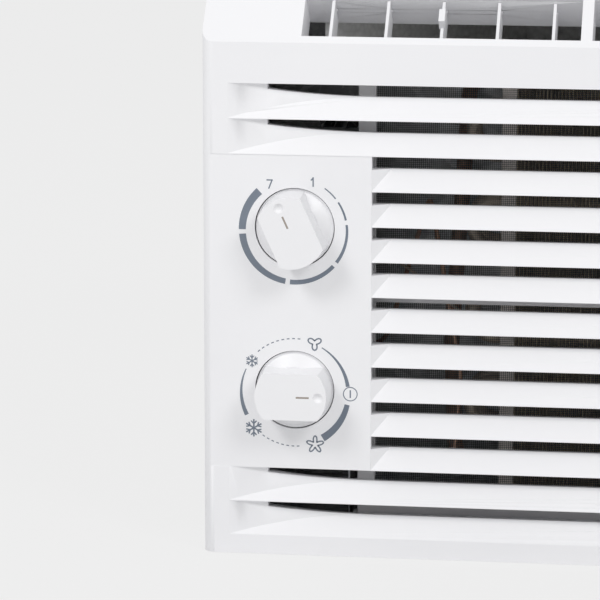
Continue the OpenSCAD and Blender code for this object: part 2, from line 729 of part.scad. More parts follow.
module coil(x, d, z, rows, pitch, r) {
  for (y = d) for (k = [0:rows - 1]) rod_x(y, z + k * pitch, r, x[0], x[1]);
}

module u_bend(x, y, z, pitch, side) translate([x, y, z]) rotate([90, 0, 0]) rotate([0, 0, -90 * side])
  rotate_extrude(angle = 180) translate([pitch / 2, 0]) circle(r = tube_r);

// A serpentine of two rows of tubes: open at the left, crossing over at the far right end
module serpentine(x, d, z, rows, pitch, over_top) {
  coil(x, d, z, rows, pitch, tube_r);
  shift = over_top ? 0 : 1;
  for (y = d) {
    for (k = [shift:2:rows - 2]) u_bend(x[0], y, z + (k + 0.5) * pitch, pitch, -1);
    for (k = [1 - shift:2:rows - 2]) u_bend(x[1], y, z + (k + 0.5) * pitch, pitch, 1);
  }
  cross_z = over_top ? z : z + (rows - 1) * pitch;
  translate([x[1], (d[0] + d[1]) / 2, cross_z]) rotate([0, 0, -90])
    rotate_extrude(angle = 180) translate([(d[1] - d[0]) / 2, 0]) circle(r = tube_r);
}

module fin_pack(x, d, z, tube_d, tube_z, rows, pitch) difference() {
  block(x, d, z);
  coil([x[0] - 1, x[1] + 1], tube_d, tube_z, rows, pitch, tube_r + 0.05);
}

module end_plates(x, d, z, flange, tube_d, tube_z, rows, pitch) for (side = [0, 1]) difference() {
  face = side == 0 ? x[0] - 0.05 : x[1] + 0.05;
  out = side == 0 ? -1 : 1;
  union() {
    block(side == 0 ? [face - sheet, face] : [face, face + sheet], d, z);
    for (y = [d[0], d[1] - sheet])
      block(side == 0 ? [face - flange, face] : [face, face + flange], [y, y + sheet], z);
  }
  coil([min(face, face + out * 3) - 1, max(face, face + out * 3) + 1], tube_d, tube_z, rows, pitch,
      tube_r + 0.05);
}

evap_rows = coil_rows(evap_z1 - evap_z0, evaporator_pitch);
evap_tube_z = (evap_z0 + evap_z1 - (evap_rows - 1) * evaporator_pitch) / 2;
evap_tube_d = [evap_d0 + 11, evap_d1 - 11];
module evaporator_fins() color([0.75, 0.74, 0.68]) place()
  fin_pack([evap_x0, evap_x1], [evap_d0, evap_d1], [evap_z0, evap_z1], evap_tube_d, evap_tube_z,
      evap_rows, evaporator_pitch);
module evaporator_end_plates() color([0.68, 0.67, 0.62]) place()
  end_plates([evap_x0, evap_x1], [evap_d0, evap_d1], [evap_z0, evap_z1], 8, evap_tube_d, evap_tube_z,
      evap_rows, evaporator_pitch);
module evaporator_tubes() color([0.72, 0.45, 0.3]) place()
  serpentine([evap_x0 - 12, evap_x1 + 10], evap_tube_d, evap_tube_z, evap_rows, evaporator_pitch, false);

module evaporator_tray() color([0.93, 0.93, 0.92]) place() difference() {
  block([evap_x0 - 30, cabinet_x - 6], [evap_d0 - 8, evap_d1 + 6], [sheet + 0.1, evap_z0 - 0.1]);
  block([evap_x0 - 24, evap_x0 - 10], [evap_d0 - 4, evap_d1 + 2], [8, evap_z0 + 1]);
  block([evap_x0 - 11, evap_x1 + 11], [evap_d0 + 5, evap_d1 - 5], [8, evap_z0 + 1]);
}

cond_rows = coil_rows(cond_z1 - cond_z0, condenser_pitch);
cond_tube_z = (cond_z0 + cond_z1 - (cond_rows - 1) * condenser_pitch) / 2;
cond_tube_d = [cond_d0 + 10, cond_d1 - 10];
cond_out_z = cond_tube_z + (cond_rows - 1) * condenser_pitch;
module condenser_fins() color([0.78, 0.79, 0.8]) place()
  fin_pack([cond_x0, cond_x1], [cond_d0, cond_d1], [cond_z0, cond_z1], cond_tube_d, cond_tube_z,
      cond_rows, condenser_pitch);
module condenser_end_plates() color([0.7, 0.71, 0.72]) place() union() {
  end_plates([cond_x0, cond_x1], [cond_d0, cond_d1], [cond_z0, cond_z1], 8, cond_tube_d, cond_tube_z,
      cond_rows, condenser_pitch);
  for (x = [cond_x0 - 0.05 - sheet, cond_x1 + 0.05]) block([x, x + sheet], [cond_d0, cond_d1],
      [sheet + 0.2, cond_z0 + 1]);
}
module condenser_tubes() color([0.72, 0.45, 0.3]) place()
  serpentine([cond_x0 - 10, cond_x1 + 3], cond_tube_d, cond_tube_z, cond_rows, condenser_pitch, true);

module condenser_shroud() color([0.25, 0.25, 0.26]) place() difference() {
  union() {
    block([cond_x0, cabinet_x - 4], [shroud_d, shroud_d + 2], [cond_z0, cond_z1]);
    for (x = [cond_x0, cond_x1 - 2]) block([x, x + 2], [shroud_d, cond_d0 - 0.3], [cond_z0, cond_z1]);
    rod_y(fan_x, fan_z, fan_r + 6, shroud_d - 16, shroud_d + 1);
  }
  rod_y(fan_x, fan_z, fan_r + 4, shroud_d - 17, shroud_d + 3);
  block([-half_w, half_w], [shroud_d - 20, shroud_d + 20], [-100, cond_z0 - 8]);
}

// ---- Compressor and pipes ----

module compressor_shell() color([0.1, 0.1, 0.11]) place() difference() {
  mid = comp_z0 + comp_dome;
  union() {
    intersection() {
      rod_z(comp_x, comp_d, compressor_r, comp_z0, comp_z0 + compressor_h);
      translate([comp_x, comp_d, mid]) sphere(r = comp_dome, $fn = 96);
    }
    rod_z(comp_x, comp_d, compressor_r + 2, mid + 20, mid + 25);
    translate([0, 0, foot_z]) linear_extrude(foot_t) {
      translate([comp_x, comp_d]) circle(r = compressor_r - 12);
      for (p = foot_points()) translate([comp_x, comp_d]) rotate(atan2(p[1] - comp_d, p[0] - comp_x)) {
        length = norm([p[0] - comp_x, p[1] - comp_d]);
        translate([0, -13]) square([length, 26]);
        translate([length, 0]) circle(r = 13);
      }
    }
  }
  for (p = foot_points()) rod_z(p[0], p[1], 6.7, foot_z - 1, foot_z + foot_t + 1);
}

module compressor_grommets() color([0.12, 0.12, 0.12]) place() for (p = foot_points()) difference() {
  union() {
    rod_z(p[0], p[1], 10, pad_h + sheet + 0.1, foot_z - 0.1);
    rod_z(p[0], p[1], 6.5, foot_z - 0.2, foot_z + foot_t + 1);
    rod_z(p[0], p[1], 9, foot_z + foot_t + 0.1, foot_z + foot_t + 4);
  }
  rod_z(p[0], p[1], stud_r + 0.1, 0, foot_z + 20);
}

module compressor_nuts() color([0.75, 0.75, 0.76]) place() for (p = foot_points()) difference() {
  translate([p[0], p[1], foot_z + foot_t + 4.1]) cylinder(r = 6, h = 5, $fn = 6);
  rod_z(p[0], p[1], stud_r + 0.05, 0, foot_z + 20);
}

module terminal_cover() color([0.13, 0.13, 0.14]) place() difference() {
  block([comp_x - 18, comp_x + 18], [comp_d - compressor_r - 8, comp_d - compressor_r + 8], [105, 152]);
  rod_z(comp_x, comp_d, compressor_r + 0.3, 90, 160);
  rod_z(comp_x, comp_d, compressor_r + 2.3, comp_z0 + comp_dome + 19.7, comp_z0 + comp_dome + 25.3);
}

module accumulator() color([0.1, 0.1, 0.11]) place() {
  intersection() {
    rod_z(acc_x, acc_d, acc_r, acc_z[0], acc_z[1]);
    translate([acc_x, acc_d, (acc_z[0] + acc_z[1]) / 2]) sphere(r = (acc_z[1] - acc_z[0]) / 2 + 0.5,
        $fn = 96);
  }
  rod_z(acc_x, acc_d, acc_tube_r, acc_elbow_z - acc_tube_r, acc_z[0] + 3);
  translate([acc_x, acc_d, acc_elbow_z]) rotate([0, 0, 135]) rotate([0, 90, 0])
    cylinder(r = acc_tube_r - 0.4, h = compressor_r * (sqrt(2) - 1) - 0.3);
}

module filter_drier() color([0.72, 0.45, 0.3]) place() {
  rod_z(drier_x, drier_d, 9, drier_z[0] + 8, drier_z[1] - 8);
  for (z = [drier_z[0], drier_z[1] - 8]) rod_z(drier_x, drier_d, 5, z, z + 8);
}

comp_top = comp_z0 + compressor_h;
module discharge_tube() color([0.72, 0.45, 0.3]) place() pipe([
  [comp_x - 10, comp_d, comp_top - 0.3], [comp_x - 10, comp_d, comp_top + 40],
  [comp_x - 40, comp_d + 30, comp_top + 50], [cond_x0 - 28, cond_tube_d[0], cond_out_z],
  [cond_x0 - 10.1, cond_tube_d[0], cond_out_z]], 3.2, 12);

module suction_tube() color([0.72, 0.45, 0.3]) place() pipe([
  [evap_x0 - 12.1, evap_tube_d[1], evap_tube_z], [evap_x0 - 34, evap_tube_d[1], evap_tube_z],
  [evap_x0 - 40, evap_d1 + 24, evap_tube_z + 60], [acc_x, bulkhead_d - 16, suction_hole_z],
  [acc_x, bulkhead_d + 16, suction_hole_z], [acc_x, acc_d, suction_hole_z - 8],
  [acc_x, acc_d, acc_z[1] + 0.1]], 4.5, 10);

module liquid_tube() color([0.72, 0.45, 0.3]) place() pipe([
  [cond_x0 - 10.1, cond_tube_d[1], cond_out_z], [drier_x + 1, cond_tube_d[1], cond_out_z],
  [drier_x, cond_tube_d[1] - 20, 250], [drier_x, drier_d, 250], [drier_x, drier_d, drier_z[1] + 0.1]],
      3, 10);

module capillary_tube() color([0.72, 0.45, 0.3]) place() pipe([
  [drier_x, drier_d, drier_z[0] - 0.1], [drier_x, drier_d, capillary_hole_z + 6],
  [drier_x, bulkhead_d + 8, capillary_hole_z], [drier_x, bulkhead_d - 12, capillary_hole_z],
  [box_x1 + 12, box_d1 + 16, 100], [control_x1 + 26, evap_d0 + 18, 190], [control_x1 + 44,
      evap_d0 + 14, 90],
  [evap_x0 - 34, evap_tube_d[0], evap_tube_z], [evap_x0 - 12.1, evap_tube_d[0], evap_tube_z]], 1.3, 8);

// ---- Fans ----

module fan_motor() color([0.16, 0.17, 0.18]) place() difference() {
  union() {
    rod_y(fan_x, fan_z, motor_r - 3, motor_d0, motor_d1);
    rod_y(fan_x, fan_z, motor_r, motor_d0 + 10, motor_d1 - 10);
    rod_y(fan_x, fan_z, motor_r + 5, bracket_d - 3, bracket_d);
    rod_y(fan_x, fan_z, 11, motor_d0 - 6, motor_d1 + 6);
  }
  rod_y(fan_x, fan_z, shaft_r + running_gap, motor_d0 - 7, motor_d1 + 7);
}

module motor_bracket() color([0.7, 0.71, 0.72]) place() difference() {
  union() {
    along_y(bracket_d + 0.1, bracket_d + 2.1) {
      translate([fan_x, fan_z]) circle(r = motor_r + 9);
      translate([fan_x - motor_r - 9, sheet + 0.1]) square([2 * (motor_r + 9), fan_z - sheet - 0.1]);
    }
    block([fan_x - motor_r - 9, fan_x + motor_r + 9], [bracket_d + 0.1, bracket_d + 24], [sheet + 0.1,
        sheet + 2.1]);
  }
  rod_y(fan_x, fan_z, motor_r + 0.1, bracket_d - 1, bracket_d + 3);
  block([fan_x - 26, fan_x + 26], [bracket_d - 1, bracket_d + 3], [24, fan_z - motor_r - 14]);
}

shaft_d0 = wheel_d0 + 8;
shaft_d1 = fan_d0 + fan_l + 4;
module motor_shaft() color([0.78, 0.78, 0.8]) place() rod_y(fan_x, fan_z, shaft_r, shaft_d0, shaft_d1);

module blower_wheel() color([0.2, 0.2, 0.21]) place() difference() {
  back = wheel_d0 + wheel_l;
  union() {
    rod_y(fan_x, fan_z, wheel_r, back - 2.5, back);
    ring_y(fan_x, fan_z, wheel_r, wheel_r - 10, wheel_d0, wheel_d0 + 3);
    rod_y(fan_x, fan_z, 12, wheel_d0 + 26, back);
    for (i = [0:wheel_blades - 1]) translate([fan_x, 0, fan_z]) rotate([0, i * 360 / wheel_blades, 0])
      translate([wheel_r - 10, wheel_d0 + 1, -0.6]) rotate([0, 30, 0]) cube([10.6, wheel_l - 2, 1.2]);
  }
  rod_y(fan_x, fan_z, shaft_r + 0.05, wheel_d0 - 1, back + 1);
}

module condenser_fan() color([0.2, 0.2, 0.21]) place() difference() {
  union() {
    ring_y(fan_x, fan_z, fan_r, fan_r - 3, fan_d0 + 6, fan_d0 + fan_l - 6);
    rod_y(fan_x, fan_z, 24, fan_d0 + 2, fan_d0 + fan_l);
    for (i = [0:fan_blades - 1]) translate([fan_x, fan_d0 + fan_l / 2, fan_z]) rotate([90,
        i * 360 / fan_blades, 0])
      intersection() {
        cylinder(r = fan_r - 1.5, h = fan_l + 8, center = true);
        rotate([24, 0, 0]) linear_extrude(1.6, center = true)
          polygon([[14, -10], [fan_r + 4, -30], [fan_r + 6, 24], [14, 12]]);
      }
  }
  rod_y(fan_x, fan_z, shaft_r + 0.05, fan_d0 - 10, fan_d0 + fan_l + 10);
}

function scroll(a, extra) = (scroll_r0 + extra + scroll_grow * (a - cut_off_angle) / (360 - cut_off_angle))
  * [cos(a), sin(a)];
module scroll_outline(extra) {
  top = duct_z0 - fan_z;
  right = scroll_r0 + scroll_grow + extra;
  corner = scroll(cut_off_angle, 0) - [extra, 0];
  polygon(concat([[right, top + 1], [corner[0], top + 1], corner],
    [for (a = [cut_off_angle + 6:6:360]) scroll(a, extra)]));
}

module duct_plan(inset) polygon([
  [-outlet_w / 2 - 2 + inset, 32], [evap_x0 - 6 + inset, bulkhead_d - 1 - inset],
  [fan_x + scroll_r0 + scroll_grow + 2 - inset, bulkhead_d - 1 - inset], [outlet_w / 2 + 2 - inset, 32]]);

module scroll_housing() color([0.9, 0.9, 0.89]) place() {
  difference() {
    along_y(orifice_d + 2.2, bulkhead_d - 1) translate([fan_x, fan_z]) difference() {
      scroll_outline(scroll_wall);
      scroll_outline(0);
    }
    block([-half_w, half_w], [0, body_d], [duct_z0, panel_h]);
  }
  difference() {
    translate([0, 0, duct_z0]) linear_extrude(cabinet_z1 - sheet - duct_z0 - 0.4) duct_plan(0);
    translate([0, 0, duct_z0 + 2]) linear_extrude(panel_h) duct_plan(2);
    block([-half_w, half_w], [0, 44], [duct_z0 + 2, panel_h]);
    along_y(orifice_d + 4, bulkhead_d - 3) translate([fan_x, fan_z]) scroll_outline(0);
    block([scroll(cut_off_angle, 0)[0] + fan_x, fan_x + scroll_r0 + scroll_grow], [orifice_d + 4,
        bulkhead_d - 3],
      [duct_z0 - 3, duct_z0 + 3]);
  }
}

module blower_orifice() color([0.88, 0.88, 0.87]) place() difference() {
  union() {
    block([evap_x0 - 7, evap_x1 + 8], [orifice_d, orifice_d + 2], [evap_z0, duct_z0 - 0.3]);
    rod_y(fan_x, fan_z, inlet_r + 3, orifice_d, orifice_d + 9);
    for (x = [evap_x0 - 7, evap_x1 + 6]) block([x, x + 2], [evap_d1 + 0.3, orifice_d + 1], [evap_z0,
        duct_z0 - 0.3]);
  }
  rod_y(fan_x, fan_z, inlet_r, orifice_d - 1, orifice_d + 10);
}

module bulkhead() color([0.72, 0.73, 0.74]) place() difference() {
  along_y(bulkhead_d, bulkhead_d + sheet) intersection() {
    cabinet_outline(sheet + 0.3);
    translate([-pan_x + sheet + 0.2, sheet + 0.1]) square([2 * (pan_x - sheet - 0.2), panel_h]);
  }
  rod_y(fan_x, fan_z, 14, bulkhead_d - 1, bulkhead_d + 3);
  rod_y(acc_x, suction_hole_z, 6, bulkhead_d - 1, bulkhead_d + 3);
  rod_y(drier_x, capillary_hole_z, 4, bulkhead_d - 1, bulkhead_d + 3);
  rod_y(harness_hole_x, harness_hole_z, 12, bulkhead_d - 1, bulkhead_d + 3);
}

// ---- Assembly ----

front_panel();
discharge_frame();
vane(-1, 0);  // left_vane_1
vane(-1, 1);  // left_vane_2
vane(-1, 2);  // left_vane_3
vane(-1, 3);  // left_vane_4
vane(-1, 4);  // left_vane_5
vane(1, 0);  // right_vane_1
vane(1, 1);  // right_vane_2
vane(1, 2);  // right_vane_3
vane(1, 3);  // right_vane_4
vane(1, 4);  // right_vane_5
link_bar(-1);  // left_link_bar
link_bar(1);  // right_link_bar
filter_frame();
filter_mesh();
temp_knob();
mode_knob();
thermostat_shaft();
switch_shaft();
thermostat_body();
mode_switch();
sensing_bulb();
control_box();
control_box_cover();
run_capacitor();
wire_harness();
base_pan();
cabinet();
rear_guard();
top_rail();
screws();
cord_gland();
drain_plug();
evaporator_fins();
evaporator_end_plates();
evaporator_tubes();
evaporator_tray();
condenser_fins();
condenser_end_plates();
condenser_tubes();
condenser_shroud();
compressor_shell();
compressor_grommets();
compressor_nuts();
terminal_cover();
accumulator();
discharge_tube();
suction_tube();
liquid_tube();
capillary_tube();
filter_drier();
fan_motor();
motor_bracket();
motor_shaft();
blower_wheel();
condenser_fan();
scroll_housing();
blower_orifice();
bulkhead();
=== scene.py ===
import math

import bmesh
import bpy
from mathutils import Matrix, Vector


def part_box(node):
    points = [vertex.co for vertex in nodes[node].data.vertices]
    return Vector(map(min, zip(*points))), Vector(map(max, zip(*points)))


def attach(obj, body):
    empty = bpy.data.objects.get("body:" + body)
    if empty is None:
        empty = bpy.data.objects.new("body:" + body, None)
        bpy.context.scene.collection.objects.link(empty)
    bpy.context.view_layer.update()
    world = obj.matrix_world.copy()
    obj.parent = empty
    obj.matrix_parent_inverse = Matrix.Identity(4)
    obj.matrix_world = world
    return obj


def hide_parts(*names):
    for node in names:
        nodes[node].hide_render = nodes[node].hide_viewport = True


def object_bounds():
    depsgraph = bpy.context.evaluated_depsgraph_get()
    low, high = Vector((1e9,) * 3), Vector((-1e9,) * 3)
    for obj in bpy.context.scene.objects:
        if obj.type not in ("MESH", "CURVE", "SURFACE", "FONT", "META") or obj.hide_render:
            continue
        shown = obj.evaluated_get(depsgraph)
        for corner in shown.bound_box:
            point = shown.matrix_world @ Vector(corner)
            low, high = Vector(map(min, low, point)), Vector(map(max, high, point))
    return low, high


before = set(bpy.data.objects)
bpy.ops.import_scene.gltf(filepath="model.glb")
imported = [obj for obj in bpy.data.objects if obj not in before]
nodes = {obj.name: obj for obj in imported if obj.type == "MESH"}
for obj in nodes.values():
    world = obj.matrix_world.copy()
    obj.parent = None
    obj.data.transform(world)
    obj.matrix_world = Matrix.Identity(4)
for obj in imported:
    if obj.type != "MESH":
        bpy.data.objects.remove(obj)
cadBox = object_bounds()
scene = bpy.context.scene
print("loaded", len(nodes), "nodes")


# Materials

def newMaterial(name):
    material = bpy.data.materials.new(name)
    material.use_nodes = True
    tree = material.node_tree
    tree.nodes.clear()
    output = tree.nodes.new("ShaderNodeOutputMaterial")
    shader = tree.nodes.new("ShaderNodeBsdfPrincipled")
    tree.links.new(shader.outputs["BSDF"], output.inputs["Surface"])
    return material, tree, shader


def objectPoint(tree, stretch=(1, 1, 1)):
    coordinates = tree.nodes.new("ShaderNodeTexCoord")
    mapping = tree.nodes.new("ShaderNodeMapping")
    mapping.inputs["Scale"].default_value = stretch
    tree.links.new(coordinates.outputs["Object"], mapping.inputs["Vector"])
    return mapping.outputs["Vector"]


def noise(tree, point, scale, detail=3):
    texture = tree.nodes.new("ShaderNodeTexNoise")
    texture.inputs["Scale"].default_value = scale
    texture.inputs["Detail"].default_value = detail
    tree.links.new(point, texture.inputs["Vector"])
    return texture.outputs[0]


def ramp(tree, value, dark, light, low=0.3, high=0.7):
    node = tree.nodes.new("ShaderNodeValToRGB")
    node.color_ramp.elements[0].position = low
    node.color_ramp.elements[1].position = high
    node.color_ramp.elements[0].color = (*dark, 1)
    node.color_ramp.elements[1].color = (*light, 1)
    tree.links.new(value, node.inputs[0])
    return node.outputs[0]


def mapRange(tree, value, low, high):
    node = tree.nodes.new("ShaderNodeMapRange")
    node.inputs["To Min"].default_value = low
    node.inputs["To Max"].default_value = high
    tree.links.new(value, node.inputs[0])
    return node.outputs[0]


def bump(tree, shader, height, strength, distance):
    node = tree.nodes.new("ShaderNodeBump")
    node.inputs["Strength"].default_value = strength
    node.inputs["Distance"].default_value = distance
    tree.links.new(height, node.inputs["Height"])
    tree.links.new(node.outputs["Normal"], shader.inputs["Normal"])


def surface(name, dark, light, rough, metallic=0.0, patch=40, grain=900, depth=0.00003,
            stretch=(1, 1, 1), sheen=0.0):
    # two tones in soft patches, uneven gloss and a fine grain
    material, tree, shader = newMaterial(name)
    point = objectPoint(tree, stretch)
    patches = noise(tree, point, patch)
    tree.links.new(ramp(tree, patches, dark, light), shader.inputs["Base Color"])
    tree.links.new(mapRange(tree, patches, rough[0], rough[1]), shader.inputs["Roughness"])
    shader.inputs["Metallic"].default_value = metallic
    shader.inputs["Coat Weight"].default_value = sheen
    bump(tree, shader, noise(tree, point, grain, 2), 0.35, depth)
    return material


def spangled(name, dark, light, rough):
    # zinc crystals, each with its own tone and gloss
    material, tree, shader = newMaterial(name)
    crystals = tree.nodes.new("ShaderNodeTexVoronoi")
    crystals.inputs["Scale"].default_value = 170
    tree.links.new(objectPoint(tree), crystals.inputs["Vector"])
    tone = tree.nodes.new("ShaderNodeSeparateColor")
    tree.links.new(crystals.outputs["Color"], tone.inputs[0])
    tree.links.new(ramp(tree, tone.outputs[0], dark, light, 0, 1), shader.inputs["Base Color"])
    tree.links.new(mapRange(tree, tone.outputs[1], rough[0], rough[1]), shader.inputs["Roughness"])
    shader.inputs["Metallic"].default_value = 0.85
    bump(tree, shader, crystals.outputs["Distance"], 0.12, 0.00005)
    return material


def beadedFoam(name):
    material, tree, shader = newMaterial(name)
    beads = tree.nodes.new("ShaderNodeTexVoronoi")
    beads.inputs["Scale"].default_value = 320
    tree.links.new(objectPoint(tree), beads.inputs["Vector"])
    # each bead lighter in its middle and painted darker towards its edge: painted shade in the grooves that
    # the bump cuts between beads
    tone = ramp(tree, beads.outputs["Distance"], (0.82, 0.82, 0.81), (0.66, 0.66, 0.65), 0.2, 0.9)
    tree.links.new(tone, shader.inputs["Base Color"])
    shader.inputs["Roughness"].default_value = 0.8
    bump(tree, shader, beads.outputs["Distance"], 0.5, -0.0003)
    return material


panelPlastic = surface("panelPlastic", (0.845, 0.845, 0.865), (0.865, 0.865, 0.882), (0.42, 0.5),
                       patch=9, grain=2600, depth=0.000012)
outletPlastic = surface("outletPlastic", (0.82, 0.82, 0.84), (0.84, 0.84, 0.86), (0.4, 0.5),
                        patch=12, grain=2400, depth=0.000012)
filterPlastic = surface("filterPlastic", (0.66, 0.65, 0.665), (0.74, 0.73, 0.745), (0.45, 0.6),
                        patch=30, grain=1500)
netStrand = surface("netStrand", (0.045, 0.045, 0.048), (0.07, 0.07, 0.072), (0.5, 0.7), patch=60)
galvanised = spangled("galvanised", (0.5, 0.51, 0.53), (0.68, 0.69, 0.7), (0.3, 0.5))
zincSteel = surface("zincSteel", (0.55, 0.55, 0.56), (0.7, 0.7, 0.71), (0.25, 0.42), metallic=0.95,
                    patch=120, stretch=(1, 1, 6))
cabinetPaint = surface("cabinetPaint", (0.66, 0.66, 0.64), (0.7, 0.7, 0.68), (0.38, 0.48),
                       patch=14, grain=1100, depth=0.00004)
guardPaint = surface("guardPaint", (0.06, 0.063, 0.066), (0.085, 0.088, 0.09), (0.4, 0.55), patch=60)
blackPlastic = surface("blackPlastic", (0.022, 0.022, 0.024), (0.04, 0.04, 0.042), (0.4, 0.6),
                       patch=50, grain=1600)
rubber = surface("rubber", (0.014, 0.014, 0.014), (0.03, 0.03, 0.03), (0.7, 0.85), patch=80)
wireJacket = surface("wireJacket", (0.02, 0.02, 0.022), (0.035, 0.035, 0.038), (0.35, 0.5), patch=90)
foam = beadedFoam("foam")
brightFin = surface("brightFin", (0.62, 0.63, 0.64), (0.76, 0.77, 0.78), (0.28, 0.42), metallic=0.95,
                    patch=60, stretch=(6, 1, 1))
coatedFin = surface("coatedFin", (0.62, 0.52, 0.36), (0.78, 0.68, 0.5), (0.35, 0.5), metallic=0.15,
                    patch=60, stretch=(6, 1, 1))
plateMetal = surface("plateMetal", (0.78, 0.72, 0.68), (0.86, 0.8, 0.76), (0.35, 0.5), metallic=0.1,
                     patch=70)
copper = surface("copper", (0.52, 0.3, 0.2), (0.78, 0.5, 0.36), (0.25, 0.5), metallic=0.8, patch=45)
agedTube = surface("agedTube", (0.5, 0.42, 0.34), (0.66, 0.57, 0.47), (0.3, 0.5), metallic=0.4, patch=45)
blackPaint = surface("blackPaint", (0.012, 0.012, 0.013), (0.024, 0.024, 0.026), (0.25, 0.4),
                     patch=30, grain=700, depth=0.00005, sheen=0.2)
capacitorCan = surface("capacitorCan", (0.6, 0.61, 0.62), (0.72, 0.73, 0.74), (0.22, 0.34),
                       metallic=1.0, patch=60, stretch=(1, 1, 8))
thermostatCase = surface("thermostatCase", (0.5, 0.5, 0.48), (0.62, 0.62, 0.6), (0.3, 0.45),
                         metallic=0.8, patch=90)
printInk = surface("printInk", (0.147, 0.178, 0.225), (0.19, 0.222, 0.27), (0.5, 0.6), patch=25)
print("materials made")


# CAD nodes

def dress(names, material, rounding=0.0, segments=2):
    for name in names:
        node = nodes[name]
        node.data.materials.clear()
        node.data.materials.append(material)
        weld = node.modifiers.new("weld", "WELD")
        weld.merge_threshold = 0.000002  # joins the corners that meet, and nothing else
        if rounding:
            bevel = node.modifiers.new("rounding", "BEVEL")
            bevel.width = rounding
            bevel.segments = segments
            bevel.limit_method = "ANGLE"
            bevel.angle_limit = math.radians(40)
            bevel.harden_normals = True
            bevel.miter_outer = "MITER_ARC"


def smoothTubes(names):
    for name in names:
        normals = nodes[name].modifiers.new("smooth", "WEIGHTED_NORMAL")
        normals.mode = "CORNER_ANGLE"


# The printed line on a knob: its half width, its middle out from the axis, its half length
knobLine = {"halfWidth": 0.0005, "middle": 0.0065, "halfLength": 0.0035, "skin": 0.0004,
            "tempTurn": 335.5, "modeTurn": 90, "rounding": 0.0006, "segments": 4,
            "tone": (0.33, 0.29, 0.255, 1)}


def knobPlastic(name, node, turn):
    # the panel's plastic with a short printed line across the front of the grip
    material, tree, shader = newMaterial(name)
    low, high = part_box(node)
    centreX = (low.x + high.x) / 2
    centreZ = (low.z + high.z) / 2
    angle = math.radians(turn)
    coordinates = tree.nodes.new("ShaderNodeTexCoord")

    def along(direction, offset):
        dot = tree.nodes.new("ShaderNodeVectorMath")
        dot.operation = "DOT_PRODUCT"
        dot.inputs[1].default_value = direction
        tree.links.new(coordinates.outputs["Object"], dot.inputs[0])
        shift = tree.nodes.new("ShaderNodeMath")
        shift.operation = "SUBTRACT"
        shift.inputs[1].default_value = offset
        tree.links.new(dot.outputs["Value"], shift.inputs[0])
        return shift.outputs[0]

    def within(value, reach):
        size = tree.nodes.new("ShaderNodeMath")
        size.operation = "ABSOLUTE"
        tree.links.new(value, size.inputs[0])
        test = tree.nodes.new("ShaderNodeMath")
        test.operation = "LESS_THAN"
        test.inputs[1].default_value = reach
        tree.links.new(size.outputs[0], test.inputs[0])
        return test.outputs[0]

    def both(first, second):
        node = tree.nodes.new("ShaderNodeMath")
        node.operation = "MULTIPLY"
        tree.links.new(first, node.inputs[0])
        tree.links.new(second, node.inputs[1])
        return node.outputs[0]

    across = (math.cos(angle), 0, -math.sin(angle))
    pointing = (math.sin(angle), 0, math.cos(angle))
    middle = Vector((centreX, 0, centreZ))
    sideways = within(along(across, middle.dot(Vector(across))), knobLine["halfWidth"])
    outward = middle.dot(Vector(pointing)) + knobLine["middle"]
    lengthways = within(along(pointing, outward), knobLine["halfLength"])
    front = within(along((0, 1, 0), low.y), knobLine["skin"])
    mix = tree.nodes.new("ShaderNodeMix")
    mix.data_type = "RGBA"
    mix.inputs[7].default_value = knobLine["tone"]
    tree.links.new(both(both(sideways, lengthways), front), mix.inputs[0])
    point = objectPoint(tree)
    plain = ramp(tree, noise(tree, point, 12), (0.85, 0.85, 0.868), (0.868, 0.868, 0.885))
    tree.links.new(plain, mix.inputs[6])
    tree.links.new(mix.outputs[2], shader.inputs["Base Color"])
    shader.inputs["Roughness"].default_value = 0.4
    bump(tree, shader, noise(tree, point, 2400, 2), 0.3, 0.000012)
    return material


dress(["front_panel"], panelPlastic, 0.0004)
dress(["discharge_frame"], outletPlastic, 0.0003)
vaneNames = sorted(n for n in nodes if "vane" in n)
linkNames = sorted(n for n in nodes if n.endswith("link_bar"))
dress(vaneNames, outletPlastic, 0.0003)
dress(linkNames, outletPlastic, 0.0003)
dress(["temp_knob"], knobPlastic("tempKnobPlastic", "temp_knob", knobLine["tempTurn"]),
      knobLine["rounding"], knobLine["segments"])
dress(["mode_knob"], knobPlastic("modeKnobPlastic", "mode_knob", knobLine["modeTurn"]),
      knobLine["rounding"], knobLine["segments"])
dress(["filter_frame"], filterPlastic, 0.0005)
dress(["thermostat_shaft", "switch_shaft"], zincSteel)
dress(["thermostat_body"], thermostatCase, 0.0004)
dress(["mode_switch", "cord_gland", "blower_wheel", "condenser_fan", "terminal_cover"],
      blackPlastic, 0.0003)
dress(["base_pan", "bulkhead", "motor_bracket", "condenser_end_plates"], galvanised, 0.0002)
dress(["control_box", "control_box_cover"], galvanised, 0.0002)
dress(["cabinet", "top_rail"], cabinetPaint, 0.0003)
dress(["rear_guard"], guardPaint, 0.0002)
dress(["screws", "compressor_nuts", "motor_shaft"], zincSteel, 0.0002)
dress(["drain_plug", "compressor_grommets"], rubber, 0.0003)
dress(["wire_harness"], wireJacket)
dress(["run_capacitor"], capacitorCan, 0.0004)
dress(["evaporator_end_plates"], plateMetal, 0.0002)
dress(["evaporator_tray", "scroll_housing", "blower_orifice"], foam, 0.0008)
dress(["condenser_shroud"], blackPlastic, 0.0003)
dress(["compressor_shell", "accumulator", "fan_motor"], blackPaint, 0.0008)
dress(["evaporator_tubes", "sensing_bulb"], agedTube)
copperNames = ["condenser_tubes", "filter_drier", "discharge_tube",
               "suction_tube", "liquid_tube", "capillary_tube"]
dress(copperNames, copper)
smoothTubes(["discharge_tube", "suction_tube", "liquid_tube", "capillary_tube", "wire_harness"])
print("nodes dressed")


# Built pieces

def buildPiece(name, material, body, parts):
    mesh = bmesh.new()
    for part in parts:
        part(mesh)
    data = bpy.data.meshes.new(name)
    mesh.normal_update()
    mesh.to_mesh(data)
    mesh.free()
    data.materials.append(material)
    piece = bpy.data.objects.new(name, data)
    scene.collection.objects.link(piece)
    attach(piece, body)
    return piece


